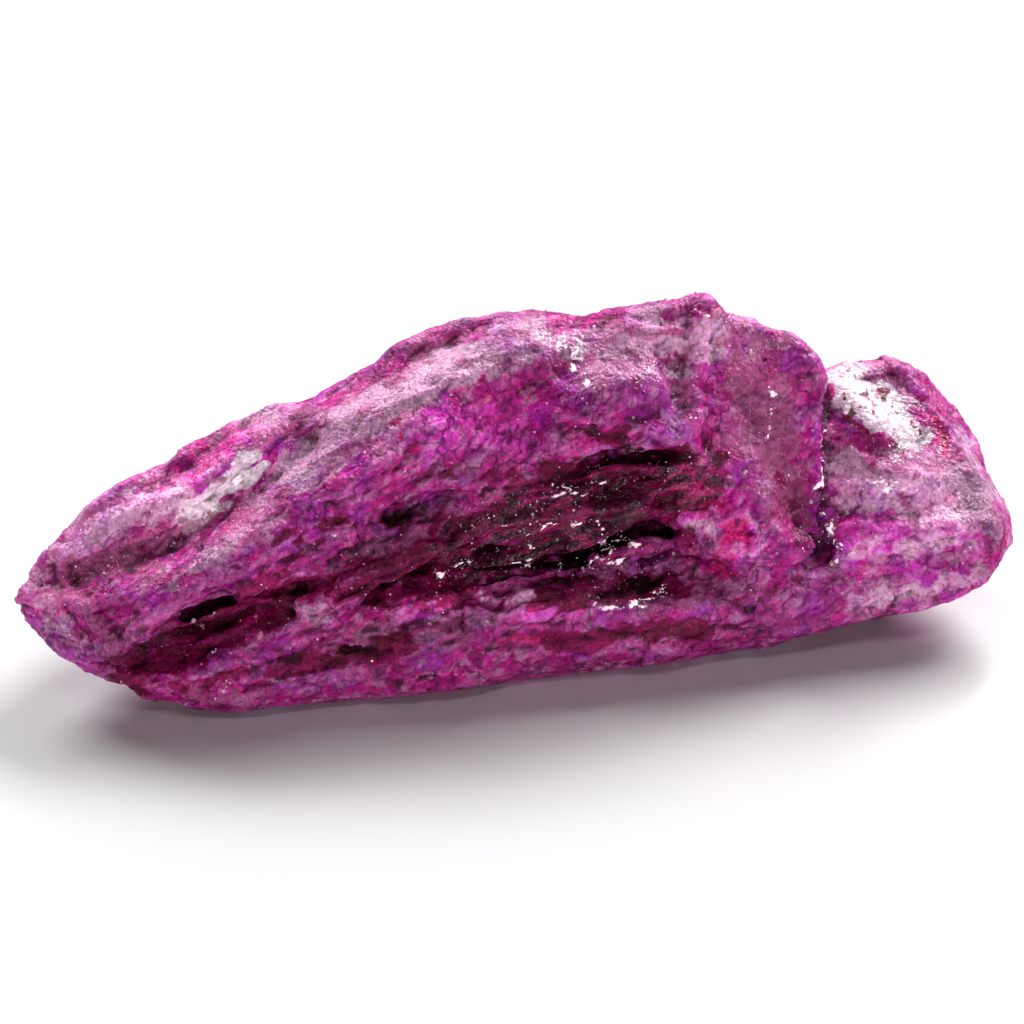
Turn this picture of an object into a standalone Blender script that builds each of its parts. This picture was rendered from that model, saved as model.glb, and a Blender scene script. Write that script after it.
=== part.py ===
"""Rough sapphire crystal: one broken, waterworn lump of purple corundum, 60 mm long.

The row frame has +X along the stone towards its blunt end, +Y towards its back and +Z up.
The origin is the bottom centre of the stone's box, on the worn flat that the stone rests on.
Every size below is in millimetres.
"""

import random

import bmesh
import bpy
import numpy as np
from mathutils import Matrix, Vector, noise

MM = 0.001

SKIN_VOXEL = 0.36  # the grid that the masses are fused on
TRIANGLES = 9300  # of the finished solid
CHIPS = 9  # breaks knocked off the corners of each mass
CHIP_DEPTH = 0.45
FOOT_SNAP = 0.08  # points this near to the resting flat are put on it

FRONT = (0, -1, 0)
UP = (0, 0, 1)
BACK = (0, 1, 0)
FRONT_UP = (0, -0.7, 0.7)

# The masses that grew together, each the convex hull of its corners (x, y, z).
MASSES = {
    # The tapered left half: a roof falling to the front, a crest, and a front face.
    "wedge": [
        (-30.3, -0.6, 6.2), (-28.2, 1.4, 8.4), (-27.1, 0.5, 9.3), (-23.2, 1.8, 12.2),
        (-18.9, 2.6, 13.8), (-6.1, 3.8, 18.1), (-3.5, 4.2, 19.4), (-1.6, 4.2, 19.8),
        (1.4, 4.2, 19.8), (4.4, 3.9, 19.6),
        (-28.9, -1.8, 4.2), (-26.2, -3.9, 2.7), (-24.6, -6.0, 4.0), (-23.1, -5.5, 7.5),
        (-17.5, -4.5, 10.6), (-10.2, -1.9, 14.7), (-5.4, -2.8, 15.6), (1.0, -0.6, 18.2),
        (-18.4, -7.1, 1.0), (-9.5, -7.0, 2.0), (1.3, -6.5, 3.0),
        (-24.0, 5.5, 5.0), (-17.0, 8.0, 8.0), (-6.0, 9.0, 11.0), (4.0, 8.8, 13.0),
        (-18.0, 6.0, 1.5), (2.0, 7.0, 1.5), (-17.0, -4.5, 0.3), (2.0, -5.0, 0.3),
    ],
    # The upright block behind the flat front facet, with its nose over the deep hollow.
    "nose_block": [
        (12.6, 2.1, 20.3), (14.9, 2.0, 18.6), (17.6, 1.2, 17.7), (19.4, 0.2, 16.7),
        (10.3, -2.9, 13.0), (13.4, -7.3, 6.0), (18.0, -5.2, 6.0), (3.3, 1.5, 19.3),
        (1.0, -0.6, 18.2), (1.2, -3.5, 14.5), (5.8, 2.1, 20.2), (1.4, 3.9, 19.7),
        (13.0, 8.0, 15.0), (19.0, 7.0, 11.0), (4.0, 8.8, 13.0), (19.5, 3.0, 3.0),
        (2.0, 3.0, 3.0), (6.0, 9.0, 8.0), (18.0, 8.4, 7.0),
    ],
    # The lower blunt end, set back behind the front facet.
    "end_block": [
        (20.6, 2.2, 13.7), (21.6, 3.0, 14.4), (24.5, 3.9, 14.2), (26.2, 3.8, 13.6),
        (28.0, 3.5, 12.1), (29.8, 2.4, 10.1), (30.5, 0.8, 8.8), (30.8, -1.0, 7.1),
        (30.8, -3.2, 5.9), (30.6, -5.2, 4.9), (29.9, -6.6, 4.8), (29.4, -6.9, 6.3),
        (28.4, -3.8, 9.3), (19.7, -0.2, 11.6), (21.9, -4.3, 10.4), (23.5, -5.4, 9.9),
        (18.9, -7.1, 6.6), (23.8, -6.9, 6.6), (28.1, -6.9, 6.5), (18.0, -6.0, 3.0),
        (26.0, 7.0, 8.0), (15.0, 8.5, 10.0), (27.0, 5.0, 4.0), (12.0, 7.0, 2.5),
    ],
    # The layered base that runs the whole length under the front.
    "base": [
        (-24.2, -5.2, 1.4), (-18.4, -7.3, 0.9), (-9.5, -7.2, 1.9), (1.3, -7.2, 1.9),
        (9.6, -8.4, 1.9), (15.9, -8.3, 1.9), (20.4, -8.1, 2.4), (24.5, -8.8, 3.4),
        (27.5, -8.4, 3.9), (29.3, -7.4, 4.6), (-18.0, -7.2, 2.6), (-8.3, -7.5, 4.3),
        (1.1, -8.0, 4.8), (9.7, -8.4, 5.0), (17.4, -8.0, 5.3), (28.4, -7.1, 6.3),
        (-20.0, 6.0, 3.5), (0.0, 8.6, 6.0), (20.0, 8.4, 6.0), (28.0, 3.0, 6.0),
        (-18.5, -4.5, -0.5), (-16.5, 4.5, -0.5), (0.0, 6.2, -0.5), (19.0, 5.0, -0.5),
        (21.5, -3.5, -0.5), (8.0, -6.0, -0.5), (-8.0, -5.5, -0.5),
    ],
}

# Hollows and slits: (start, end, width, depth, facing) of each long pebble cut away.
HOLLOWS = {
    "left_hollow": ((-25.2, -7.0, 3.6), (-13.5, -6.6, 7.3), 3.4, 8.0, FRONT),
    "left_hollow_arm": ((-17.5, -6.8, 5.7), (-7.0, -6.8, 8.2), 1.9, 5.5, FRONT),
    "lens_shadow": ((-10.5, -6.6, 6.3), (-2.0, -6.0, 8.4), 2.6, 6.0, FRONT),
    "deep_hollow": ((-5.4, -6.6, 7.2), (12.2, -6.4, 10.6), 7.0, 11.0, FRONT),
    "pocket": ((1.5, -6.4, 5.7), (10.6, -6.6, 7.2), 2.8, 12.0, FRONT),
    "hollow_roof": ((-0.5, -5.0, 11.6), (11.0, -4.4, 12.3), 2.2, 8.0, FRONT),
    "roof_dip": ((-14.0, 3.4, 15.8), (-6.6, 4.0, 18.0), 6.0, 2.4, UP),
    "end_notch": ((19.4, -7.0, 9.6), (20.6, 3.6, 15.4), 1.6, 2.2, UP),
    "back_hollow": ((-14.0, 9.6, 9.0), (2.0, 10.2, 6.4), 4.2, 5.0, BACK),
    "back_pocket": ((5.0, 10.2, 11.4), (16.0, 10.0, 8.2), 4.2, 4.0, BACK),
    "back_pocket_arm": ((12.0, 9.8, 7.0), (22.0, 9.0, 9.4), 2.6, 3.4, BACK),
    "back_slit": ((-22.0, 7.0, 5.0), (-8.0, 9.6, 4.6), 1.6, 3.0, BACK),
    "end_scoop": ((31.0, -1.0, 3.6), (29.0, 4.4, 5.0), 3.0, 4.0, (1, 0, 0)),
}

# Lumps, lenses and ledges: (start, end, width, depth, facing) of each pebble added.
LUMPS = {
    "crest_roll": ((-25.4, -3.6, 6.6), (-9.5, -2.8, 13.4), 1.9, 3.0, FRONT_UP),
    "roof_lump": ((-17.8, 1.6, 13.0), (-11.4, 2.2, 14.6), 3.6, 2.6, UP),
    "roof_lump_left": ((-25.5, 0.4, 9.4), (-19.5, 0.8, 12.0), 3.0, 2.4, UP),
    "nose_bulge": ((2.0, -2.2, 15.2), (9.8, -0.8, 16.6), 4.2, 3.4, FRONT_UP),
    "nose_brow": ((4.0, 0.6, 18.2), (11.2, 1.4, 18.8), 2.4, 2.6, FRONT_UP),
    "nose_lip": ((5.5, -3.2, 13.4), (10.6, -2.6, 14.2), 1.8, 2.6, FRONT),
    "lens_a": ((-4.5, -2.7, 11.2), (4.0, -2.0, 12.4), 1.0, 3.4, FRONT),
    "lens_b": ((-3.6, -2.9, 9.9), (6.4, -2.1, 11.4), 1.0, 4.2, FRONT),
    "lens_c": ((-4.8, -3.6, 8.5), (5.0, -2.6, 10.1), 1.0, 4.4, FRONT),
    "lens_d": ((-2.6, -3.8, 7.1), (7.4, -2.8, 8.9), 1.0, 4.6, FRONT),
    "lens_e": ((3.6, -2.9, 9.6), (11.5, -2.7, 11.0), 1.0, 4.2, FRONT),
    "left_lens": ((-13.4, -6.0, 6.9), (-3.2, -4.6, 9.9), 1.4, 3.0, FRONT),
    "lip_lens": ((-4.4, -6.8, 5.3), (6.0, -6.6, 5.6), 1.3, 3.0, FRONT),
    "red_a": ((7.6, -1.6, 10.4), (13.6, -3.8, 11.4), 3.2, 2.6, FRONT),
    "red_b": ((8.4, -2.4, 8.4), (15.4, -5.2, 9.4), 4.0, 3.0, FRONT),
    "red_c": ((9.0, -4.0, 6.4), (16.4, -6.2, 7.4), 3.4, 3.0, FRONT),
    "back_roll": ((-16.0, 7.0, 10.6), (6.0, 7.8, 13.4), 2.4, 3.0, BACK),
    "back_foot": ((-10.0, 7.4, 4.4), (16.0, 8.0, 4.2), 2.2, 3.0, BACK),
}

# Ridges (height above 0) and grooves (below 0) drawn on a side: (points, width, height).
# The points are (x, z) on the front and the back, and (x, y) on the top.
STROKES = {
    "front": [
        ([(-24.2, 4.9), (-21.6, 7.9), (-18.4, 9.2), (-14.0, 11.0), (-9.0, 13.4)], 1.3, 0.45),
        ([(-24.0, 3.6), (-21.4, 6.1), (-18.5, 7.3), (-15.5, 8.6), (-12.5, 9.9)], 0.9, -0.7),
        ([(-19.4, 7.2), (-15.4, 8.3), (-11.0, 9.9), (-6.5, 11.3), (-3.0, 12.6)], 1.0, 0.45),
        ([(-17.5, 6.2), (-14.0, 7.2), (-10.4, 8.6)], 0.8, -0.6),
        ([(-9.4, 10.5), (-7.0, 11.2), (-4.2, 11.9)], 0.8, -1.3),
        ([(-14.0, 12.0), (-9.0, 12.4), (-4.0, 13.8), (0.5, 15.0)], 0.7, -0.35),
        ([(-16.0, 4.4), (-12.6, 5.6), (-10.8, 6.2)], 1.3, 0.5),
        ([(-12.8, 3.2), (-9.6, 3.5)], 0.5, -1.0),
        ([(-6.0, 3.0), (4.0, 3.6), (14.0, 4.4), (24.0, 5.2)], 0.5, -0.4),
        ([(-14.0, 1.8), (0.0, 2.2), (12.0, 2.8), (26.0, 4.2)], 0.5, -0.35),
        ([(17.8, 5.3), (20.5, 6.0), (23.3, 6.2), (27.0, 6.3)], 0.7, -0.4),
        ([(18.8, 7.3), (23.4, 7.6), (28.4, 7.3)], 0.7, 0.35),
        ([(12.4, 19.4), (11.1, 16.6), (10.5, 13.6)], 0.8, 0.4),
        ([(11.6, 12.6), (13.4, 10.6), (14.6, 8.2)], 0.8, 0.35),
        ([(13.6, 15.4), (14.2, 13.4)], 0.6, -0.3),
    ],
    "top": [
        ([(-27.4, -1.3), (-23.6, -1.9), (-20.1, -2.2), (-16.0, -1.9), (-12.0, -0.4)], 1.5, -0.9),
        ([(-12.6, 1.2), (-6.2, 2.4), (0.0, 3.0)], 0.7, -0.4),
        ([(-11.0, -0.4), (-5.0, 0.0), (1.8, 0.4)], 1.1, 0.3),
        ([(-22.0, 0.6), (-18.8, 1.0), (-17.6, 2.8)], 0.7, -0.45),
        ([(2.2, 0.8), (4.4, 2.4), (5.0, 4.0)], 0.7, -0.5),
        ([(20.6, 2.0), (22.2, -0.6), (23.4, -4.8)], 0.6, 0.4),
        ([(24.4, 3.4), (27.2, 1.0), (28.4, -3.2)], 0.6, 0.45),
        ([(22.8, 1.6), (25.0, -1.0), (26.2, -3.6)], 1.2, -0.35),
        ([(20.2, -3.0), (23.0, -5.9), (28.4, -5.9)], 0.5, -0.4),
        ([(-8.0, 5.4), (0.0, 6.4), (8.0, 6.2)], 0.9, -0.6),
    ],
    "back": [
        ([(-20.0, 9.4), (-10.0, 11.6), (0.0, 12.6), (10.0, 12.2)], 0.7, -0.6),
        ([(-22.0, 6.6), (-12.0, 7.4), (0.0, 9.4), (9.0, 10.2)], 0.9, 0.5),
        ([(-18.0, 3.6), (-6.0, 3.2), (8.0, 3.0), (22.0, 3.6)], 0.6, -0.5),
        ([(4.0, 6.2), (12.0, 6.0), (22.0, 7.4)], 0.8, 0.5),
        ([(14.0, 12.6), (20.0, 10.4), (25.0, 10.6)], 0.8, -0.5),
    ],
}

SIDES = {
    "front": (Vector(FRONT), (0, 2)),
    "top": (Vector(UP), (0, 1)),
    "back": (Vector(BACK), (0, 2)),
}


def show(name, mesh):
    """The mesh as an object in the scene."""
    shown = bpy.data.objects.new(name, mesh)
    bpy.context.scene.collection.objects.link(shown)
    return shown


def knock_off_chips(shape, chance):
    """Breaks small flat pieces off the corners of a convex solid."""
    for _ in range(CHIPS):
        way = Vector((chance.uniform(-1, 1), chance.uniform(-1, 1), chance.uniform(-0.2, 1)))
        way.normalize()
        reach = max(v.co.dot(way) for v in shape.verts)
        depth = chance.uniform(0.3, 1) * CHIP_DEPTH * MM
        everything = shape.verts[:] + shape.edges[:] + shape.faces[:]
        cut = bmesh.ops.bisect_plane(
            shape, geom=everything, plane_co=way * (reach - depth), plane_no=way,
            clear_outer=True,
        )
        rim = [edge for edge in cut["geom_cut"] if isinstance(edge, bmesh.types.BMEdge)]
        bmesh.ops.edgeloop_fill(shape, edges=rim)


def mass_mesh(name, corners, chance):
    """The closed convex solid around corners, with chipped corners."""
    shape = bmesh.new()
    verts = [shape.verts.new(Vector(corner) * MM) for corner in corners]
    bmesh.ops.convex_hull(shape, input=verts)
    inside = [v for v in shape.verts if not v.link_faces]
    bmesh.ops.delete(shape, geom=inside, context="VERTS")
    knock_off_chips(shape, chance)
    bmesh.ops.recalc_face_normals(shape, faces=shape.faces)
    mesh = bpy.data.meshes.new(name)
    shape.to_mesh(mesh)
    shape.free()
    return mesh


def add_pebble(shape, start, end, width, depth, facing):
    """Adds a rough ellipsoid from start to end, as deep as given along facing."""
    start = Vector(start) * MM
    end = Vector(end) * MM
    along = (end - start).normalized()
    across = Vector(facing).cross(along).normalized()
    outward = along.cross(across)
    turn = Matrix((along, across, outward)).transposed()
    radii = Vector(((end - start).length, width * MM, depth * MM)) / 2
    middle = (start + end) / 2
    for vert in bmesh.ops.create_icosphere(shape, subdivisions=4, radius=1)["verts"]:
        place = (middle + turn @ (vert.co * radii)) / MM
        swell = 1 + 0.3 * noise.noise(place / 2.6) + 0.14 * noise.noise(place / 1.1)
        vert.co = middle + turn @ (vert.co * radii * swell)


def pebble_mesh(name, pebbles):
    """All the pebbles in one mesh."""
    shape = bmesh.new()
    for pebble in pebbles.values():
        add_pebble(shape, *pebble)
    bmesh.ops.recalc_face_normals(shape, faces=shape.faces)
    mesh = bpy.data.meshes.new(name)
    shape.to_mesh(mesh)
    shape.free()
    return mesh


def fuse(source):
    """Turns the bodies of the object into one skin."""
    skin = source.modifiers.new("skin", "REMESH")
    skin.mode = "VOXEL"
    skin.voxel_size = SKIN_VOXEL * MM
    bake(source)


def bake(source):
    """Puts the object's modifiers into its mesh."""
    graph = bpy.context.evaluated_depsgraph_get()
    graph.update()
    source.data = bpy.data.meshes.new_from_object(source.evaluated_get(graph))
    source.modifiers.clear()


def joined(name, meshes):
    """One mesh that holds the faces of all the meshes."""
    shape = bmesh.new()
    for mesh in meshes:
        shape.from_mesh(mesh)
    whole = bpy.data.meshes.new(name)
    shape.to_mesh(whole)
    shape.free()
    return whole


def smooth_fall(part):
    """1 at 0, falling to 0 at 1."""
    part = np.clip(part, 0, 1)
    return 1 - part * part * (3 - 2 * part)


def distance_to_line(places, points):
    """Distance from each flat place to the line through points."""
    nearest = np.full(len(places), 1e9)
    for start, end in zip(points, points[1:]):
        start = np.array(start)
        run = np.array(end) - start
        share = np.clip((places - start) @ run / (run @ run), 0, 1)
        gap = places - start - share[:, None] * run
        nearest = np.minimum(nearest, np.hypot(gap[:, 0], gap[:, 1]))
    return nearest


def layer_relief(place):
    """Height of the worn layers at a place: thin at the left tip, thick at the blunt end."""
    thickness = 14.9 + 0.38 * min(max(place.x, -27), 3)
    level = 15 * (place.z - 2) / thickness
    coarse = noise.noise(Vector((place.x / 9, place.y / 3, level / 1.4)))
    fine = noise.noise(Vector((place.x / 4, place.y / 1.6, level / 0.8)))
    swell = noise.noise(place / 6)
    pit = max(0, noise.noise(place / 1.7 + Vector((9, 0, 0))) - 0.3)
    return 0.34 * coarse + 0.15 * fine + 0.4 * swell - 0.9 * pit


def flat_share(place):
    """How far the flat front facet and the resting face keep their relief down: 0 to 1."""
    on_facet = smooth_fall(abs(place.x - 15.6) / 4.4) * smooth_fall(abs(place.z - 12.5) / 7.5)
    if place.y > 3:
        on_facet = 0
    near_foot = smooth_fall((place.z + 0.5) / 1.6)
    return 1 - 0.8 * on_facet - (1 - 0.8 * on_facet) * near_foot


def work_skin(mesh):
    """Draws the strokes and the worn layers on the fused skin."""
    count = len(mesh.vertices)
    places = np.empty(count * 3)
    mesh.vertices.foreach_get("co", places)
    places = places.reshape(count, 3) / MM
    normals = np.empty(count * 3)
    mesh.vertices.foreach_get("normal", normals)
    normals = normals.reshape(count, 3)
    height = np.zeros(count)
    for side, strokes in STROKES.items():
        facing, axes = SIDES[side]
        faces_side = np.clip(normals @ np.array(facing) * 3 - 0.4, 0, 1)
        for points, width, rise in strokes:
            away = distance_to_line(places[:, axes], points)
            height += rise * faces_side * smooth_fall(away / width)
    for index in range(count):
        place = Vector(places[index])
        height[index] += layer_relief(place) * flat_share(place)
    places += normals * height[:, None]
    mesh.vertices.foreach_set("co", (places * MM).ravel())
    mesh.update()


def settle(mesh):
    """Cuts the resting flat and brings the bottom centre of the box to the origin."""
    shape = bmesh.new()
    shape.from_mesh(mesh)
    for vert in shape.verts:
        if abs(vert.co.z) < FOOT_SNAP * MM:
            vert.co.z = 0
    everything = shape.verts[:] + shape.edges[:] + shape.faces[:]
    cut = bmesh.ops.bisect_plane(
        shape, geom=everything, dist=0.001 * MM, plane_co=(0, 0, 0),
        plane_no=(0, 0, 1), clear_inner=True,
    )
    rim = [edge for edge in cut["geom_cut"] if isinstance(edge, bmesh.types.BMEdge)]
    bmesh.ops.edgeloop_fill(shape, edges=rim)
    bmesh.ops.triangulate(shape, faces=[face for face in shape.faces if len(face.verts) > 3])
    bmesh.ops.recalc_face_normals(shape, faces=shape.faces)
    low = [min(v.co[axis] for v in shape.verts) for axis in range(3)]
    high = [max(v.co[axis] for v in shape.verts) for axis in range(3)]
    shift = Vector(((low[0] + high[0]) / 2, (low[1] + high[1]) / 2, low[2]))
    bmesh.ops.translate(shape, verts=shape.verts, vec=-shift)
    shape.to_mesh(mesh)
    shape.free()


def stone_material():
    """Wet purple corundum."""
    material = bpy.data.materials.new("purple corundum")
    material.use_nodes = True
    shader = material.node_tree.nodes["Principled BSDF"]
    shader.inputs["Base Color"].default_value = (0.27, 0.035, 0.26, 1)
    shader.inputs["Roughness"].default_value = 0.3
    shader.inputs["Metallic"].default_value = 0
    return material


def main():
    for old in list(bpy.data.objects):
        bpy.data.objects.remove(old)
    chance = random.Random(7)
    masses = [mass_mesh(name, corners, chance) for name, corners in MASSES.items()]
    stone = show("sapphire_crystal", joined("masses", masses))
    fuse(stone)
    hollows = show("hollows", pebble_mesh("hollows", HOLLOWS))
    fuse(hollows)
    cut = stone.modifiers.new("hollows", "BOOLEAN")
    cut.operation = "DIFFERENCE"
    cut.solver = "EXACT"
    cut.object = hollows
    bake(stone)
    bpy.data.objects.remove(hollows)
    stone.data = joined("lumps", [stone.data, pebble_mesh("lumps", LUMPS)])
    fuse(stone)
    work_skin(stone.data)
    fuse(stone)
    soften = stone.modifiers.new("soften", "SMOOTH")
    soften.factor = 0.5
    soften.iterations = 1
    fewer = stone.modifiers.new("fewer", "DECIMATE")
    fewer.ratio = TRIANGLES / (2 * len(stone.data.polygons))
    bake(stone)
    settle(stone.data)
    stone.data.name = "sapphire_crystal"
    stone.data.materials.clear()
    stone.data.materials.append(stone_material())


main()
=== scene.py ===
"""Rough sapphire crystal: the looks of one wet, broken lump of purple corundum on a white table.

Sizes in this file are in millimetres unless a name says metres. The stone lies along X, its
flat facet and deep hollow face the front (-Y), and its tapered end is at -X.
"""

import math
import random

import bmesh
import bpy
import numpy as np
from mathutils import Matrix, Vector, kdtree, noise
from mathutils.bvhtree import BVHTree


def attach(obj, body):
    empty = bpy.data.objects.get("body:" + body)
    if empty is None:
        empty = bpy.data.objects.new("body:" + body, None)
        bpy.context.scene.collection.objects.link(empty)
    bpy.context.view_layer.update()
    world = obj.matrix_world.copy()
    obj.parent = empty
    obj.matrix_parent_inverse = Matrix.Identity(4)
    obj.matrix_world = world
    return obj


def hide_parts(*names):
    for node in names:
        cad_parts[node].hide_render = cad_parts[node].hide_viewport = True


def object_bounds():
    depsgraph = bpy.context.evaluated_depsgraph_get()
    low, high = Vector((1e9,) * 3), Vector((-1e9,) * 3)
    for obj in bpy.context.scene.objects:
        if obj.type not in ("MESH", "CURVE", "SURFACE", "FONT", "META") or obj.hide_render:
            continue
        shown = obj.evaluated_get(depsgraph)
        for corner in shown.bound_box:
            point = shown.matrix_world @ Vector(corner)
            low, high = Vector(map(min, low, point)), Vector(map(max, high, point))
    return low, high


MM = 0.001

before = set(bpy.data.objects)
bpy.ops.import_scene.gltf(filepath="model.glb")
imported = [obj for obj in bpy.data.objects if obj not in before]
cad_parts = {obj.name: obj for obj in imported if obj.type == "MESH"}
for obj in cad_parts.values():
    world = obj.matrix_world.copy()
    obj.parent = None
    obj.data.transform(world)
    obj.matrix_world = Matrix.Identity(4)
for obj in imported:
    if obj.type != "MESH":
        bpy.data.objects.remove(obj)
cad_low, cad_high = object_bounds()
stone_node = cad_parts["sapphire_crystal"]

# The oblique front side: the side that strokes of relief and stain are drawn on.
SIDE_TURN = math.radians(-13)
SIDE_TILT = math.radians(30)
SIDE_OUT = Vector((
    math.sin(SIDE_TURN) * math.cos(SIDE_TILT),
    -math.cos(SIDE_TURN) * math.cos(SIDE_TILT),
    math.sin(SIDE_TILT),
))
SIDE_ACROSS = Vector((math.cos(SIDE_TURN), math.sin(SIDE_TURN), 0))
SIDE_UP = SIDE_OUT.cross(SIDE_ACROSS)

CAMERA_AIM = Vector((-0.42, -0.34, 8.0)) * MM
CAMERA_DISTANCE = 146 * MM
CAMERA_LENS = 85  # on the usual 36 mm sensor

SKIN_VOXEL = 0.223  # the even grid that the skin is rebuilt on
BROAD_FACETS = 520  # worn breaks over the whole skin
FACETS = 2600  # hackly breaks over the whole skin
LARGE_GRAIN = 1.9
SMALL_GRAIN = 0.75
LEDGE_SIDES = 8  # of each ledge's cross-section
SHEET_LEAN = math.radians(16)  # of the torn sheets, up to the right
LAYER_LEAN = math.radians(14)  # of the fine streaks
SKY_RAYS = 14  # cast from each point to find how open it is
SKY_START = 0.45  # how far above the skin they begin
SKY_REACH = 12
EDGE_GAP = 0.01  # kept between the skin and the solid's box


# ---------------------------------------------------------------- the stone's skin

# Thin ledges that fill the hollows: (points (across, up, how far out), half height, depth).
LEDGES = [
    ([(3.4, 8.8, 8.9), (5.6, 9.2, 8.6), (7.6, 9.4, 8.2), (9.6, 9.5, 7.8)], 0.30, 2.6),
    ([(-1.6, 7.2, 10.3), (0.7, 7.4, 9.8), (3, 8, 9.4), (5.4, 8.4, 8.3)], 0.28, 1.8),
    ([(-2.2, 5.9, 10.4), (0, 6.1, 10), (2.5, 6.5, 9.5), (5.4, 6.9, 8.8), (7.6, 7.3, 8)], 0.32, 2.2),
    ([(-0.4, 4.6, 8.4), (0.7, 5.2, 9), (2.2, 5.7, 9), (3.5, 5.5, 8.7), (5, 5.8, 8.4)], 0.34, 2),
    ([(-1.2, 4.1, 8.2), (0.4, 4.3, 8.5), (1.8, 4.6, 8.4), (3.2, 4.8, 7.8)], 0.28, 2.2),
    ([(4, 3.9, 7.4), (5.6, 4.3, 7.4), (7.4, 4.6, 7.2), (9.2, 4.8, 7)], 0.72, 4.4),
    ([(4.8, 6.3, 8), (6.4, 6.6, 7.9), (8, 6.8, 7.6), (9.6, 7, 7.2)], 0.60, 4.2),
    ([(2, 3, 7.3), (4.2, 3.1, 7.6), (5.8, 3, 7.6), (7.8, 3.2, 7.1)], 0.50, 3.6),
    ([(-4.6, 2.8, 7.8), (-2.2, 3.1, 7.1), (0.1, 3.3, 6.9), (2.6, 3.3, 7)], 0.36, 2.6),
    ([(-19.8, 0, 11), (-17.6, 0.9, 11.2), (-15.6, 1.5, 11.2), (-13.4, 2, 11.2)], 0.42, 2.8),
    ([(-19.4, -1.2, 10.4), (-17.4, -0.4, 10.3), (-15.4, 0.2, 10.6)], 0.34, 2),
]


def add_ledge(shape, points, half_height, depth):
    """Adds one tapering bar along points (across, up, out) to the mesh that is being built."""
    path = [Vector(point) for point in points]
    stops = [path[0]]
    for start, end in zip(path, path[1:]):
        stops += [start.lerp(end, share / 4) for share in range(1, 5)]
    rings = []
    for number, stop in enumerate(stops):
        taper = math.sin(math.pi * (number + 0.5) / len(stops)) ** 0.5
        tall = half_height * taper * (1 + 0.5 * noise.noise(stop * 1.1))
        deep = 0.5 * depth * taper
        ring = []
        for turn in range(LEDGE_SIDES):
            angle = math.tau * turn / LEDGE_SIDES
            up = stop.y + tall * math.sin(angle)
            out = stop.z - 0.5 * depth + deep * math.cos(angle)
            place = SIDE_ACROSS * stop.x + SIDE_UP * up + SIDE_OUT * out
            ring.append(shape.verts.new(place * MM))
        rings.append(ring)
    for near, far in zip(rings, rings[1:]):
        for turn in range(LEDGE_SIDES):
            after = (turn + 1) % LEDGE_SIDES
            shape.faces.new((near[turn], near[after], far[after], far[turn]))
    shape.faces.new(rings[0])
    shape.faces.new(rings[-1][::-1])


def closed_copy(node):
    """The CAD solid's faces and the ledges as the closed meshes of a new object."""
    shape = bmesh.new()
    shape.from_mesh(node.data)
    bmesh.ops.remove_doubles(shape, verts=shape.verts, dist=0.0005 * MM)
    for points, half_height, depth in LEDGES:
        add_ledge(shape, points, half_height, depth)
    mesh = bpy.data.meshes.new("stone skin")
    shape.to_mesh(mesh)
    shape.free()
    piece = bpy.data.objects.new("stone", mesh)
    bpy.context.scene.collection.objects.link(piece)
    return piece


def refine(piece, voxel):
    """Rebuilds the piece's mesh on a finer even grid."""
    fine = piece.modifiers.new("fine", "REMESH")
    fine.mode = "VOXEL"
    fine.voxel_size = voxel * MM
    graph = bpy.context.evaluated_depsgraph_get()
    graph.update()
    mesh = bpy.data.meshes.new_from_object(piece.evaluated_get(graph))
    piece.modifiers.clear()
    piece.data = mesh


def add_mark(mesh, name, values):
    """Stores one value from 0 to 1 for each point, for the material to read."""
    layer = mesh.attributes.new(name, "FLOAT", "POINT")
    layer.data.foreach_set("value", np.clip(values, 0, 1).astype(np.float32))


class Skin:
    """The skin's points in millimetres, with what is needed to push them about."""

    def __init__(self, mesh):
        self.mesh = mesh
        self.count = len(mesh.vertices)
        self.places = self.read("co") / MM
        pairs = np.empty(len(mesh.edges) * 2, dtype=np.int64)
        mesh.edges.foreach_get("vertices", pairs)
        self.pairs = pairs.reshape(-1, 2)
        self.spokes = np.bincount(self.pairs.ravel(), minlength=self.count)
        # Each point's depth inside its grain and the grain's own number, which sculpt finds.
        self.grain, self.tint = None, None
        self.crumb, self.tone = None, None

    def read(self, field):
        values = np.empty(self.count * 3)
        self.mesh.vertices.foreach_get(field, values)
        return values.reshape(-1, 3)

    def write(self):
        self.mesh.vertices.foreach_set("co", (self.places * MM).ravel())
        self.mesh.update()

    def normals(self):
        self.write()
        return self.read("normal")

    def mark(self, name, values):
        add_mark(self.mesh, name, values)

    def mark_vector(self, name, values):
        layer = self.mesh.attributes.new(name, "FLOAT_VECTOR", "POINT")
        layer.data.foreach_set("vector", values.ravel().astype(np.float32))

    def averaged(self, values):
        """Each point's value replaced by the mean over its neighbours."""
        first, second = self.pairs.T
        total = np.zeros_like(values)
        for axis in range(values.shape[1]):
            total[:, axis] += np.bincount(first, values[second, axis], self.count)
            total[:, axis] += np.bincount(second, values[first, axis], self.count)
        return total / self.spokes[:, None]

    def smoothed(self, values, rounds, share=0.5):
        for _ in range(rounds):
            values = values + share * (self.averaged(values) - values)
        return values


def noise_at(places, size, seed):
    """Smooth noise from -1 to 1 with features as big as size, along each axis."""
    spots = places / np.array(size) + seed
    return np.array([noise.noise(spot) for spot in spots.tolist()])


def noises_at(places, size, seeds):
    """Smooth noise as above, with one column for each seed."""
    return np.column_stack([noise_at(places, size, seed) for seed in seeds])


def cloud_at(places, size, seed, layers=4):
    """Layers of noise, each half as big and a little over half as strong, about -1 to 1."""
    total = np.zeros(len(places))
    for layer in range(layers):
        finer = noise_at(places, np.array(size) / 2 ** layer, seed + 3.3 * layer)
        total += 0.55 ** layer * finer
    return 0.72 * total


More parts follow.
